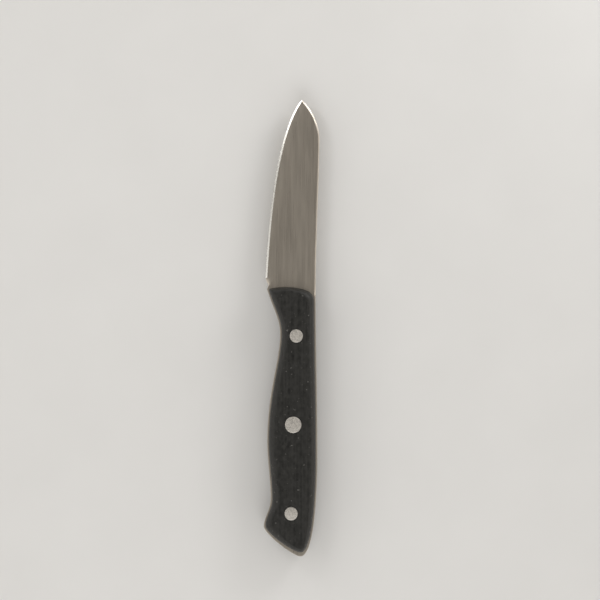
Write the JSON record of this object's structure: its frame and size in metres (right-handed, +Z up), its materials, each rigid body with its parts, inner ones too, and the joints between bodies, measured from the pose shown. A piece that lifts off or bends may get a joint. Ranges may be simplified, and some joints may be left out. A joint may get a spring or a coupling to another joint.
{
  "type": "paring knife",
  "caption": "Small kitchen paring knife with a pointed, drop-tipped blade, a full tang, a finger hollow and riveted black handle scales.",
  "frame": {"origin": "centre of the knife's outline, on the surface that the knife lies on", "axes": "+Y along the knife to the point of the blade, +X across to the spine, +Z up through the thickness"},
  "size_m": [0.0224, 0.184, 0.013],
  "materials": {
    "blade_steel": "satin stainless steel with a bright ground edge",
    "scale_plastic": "black moulded plastic with a low sheen",
    "rivet_alloy": "pale alloy, faced flush with the scales"
  },
  "bodies": {
    "root": {"blade": "blade_steel", "upper_scale": "scale_plastic", "lower_scale": "scale_plastic", "neck_rivet_socket": "rivet_alloy", "neck_rivet_pin": "rivet_alloy", "middle_rivet_socket": "rivet_alloy", "middle_rivet_pin": "rivet_alloy", "butt_rivet_socket": "rivet_alloy", "butt_rivet_pin": "rivet_alloy"}
  },
  "joints": []
}
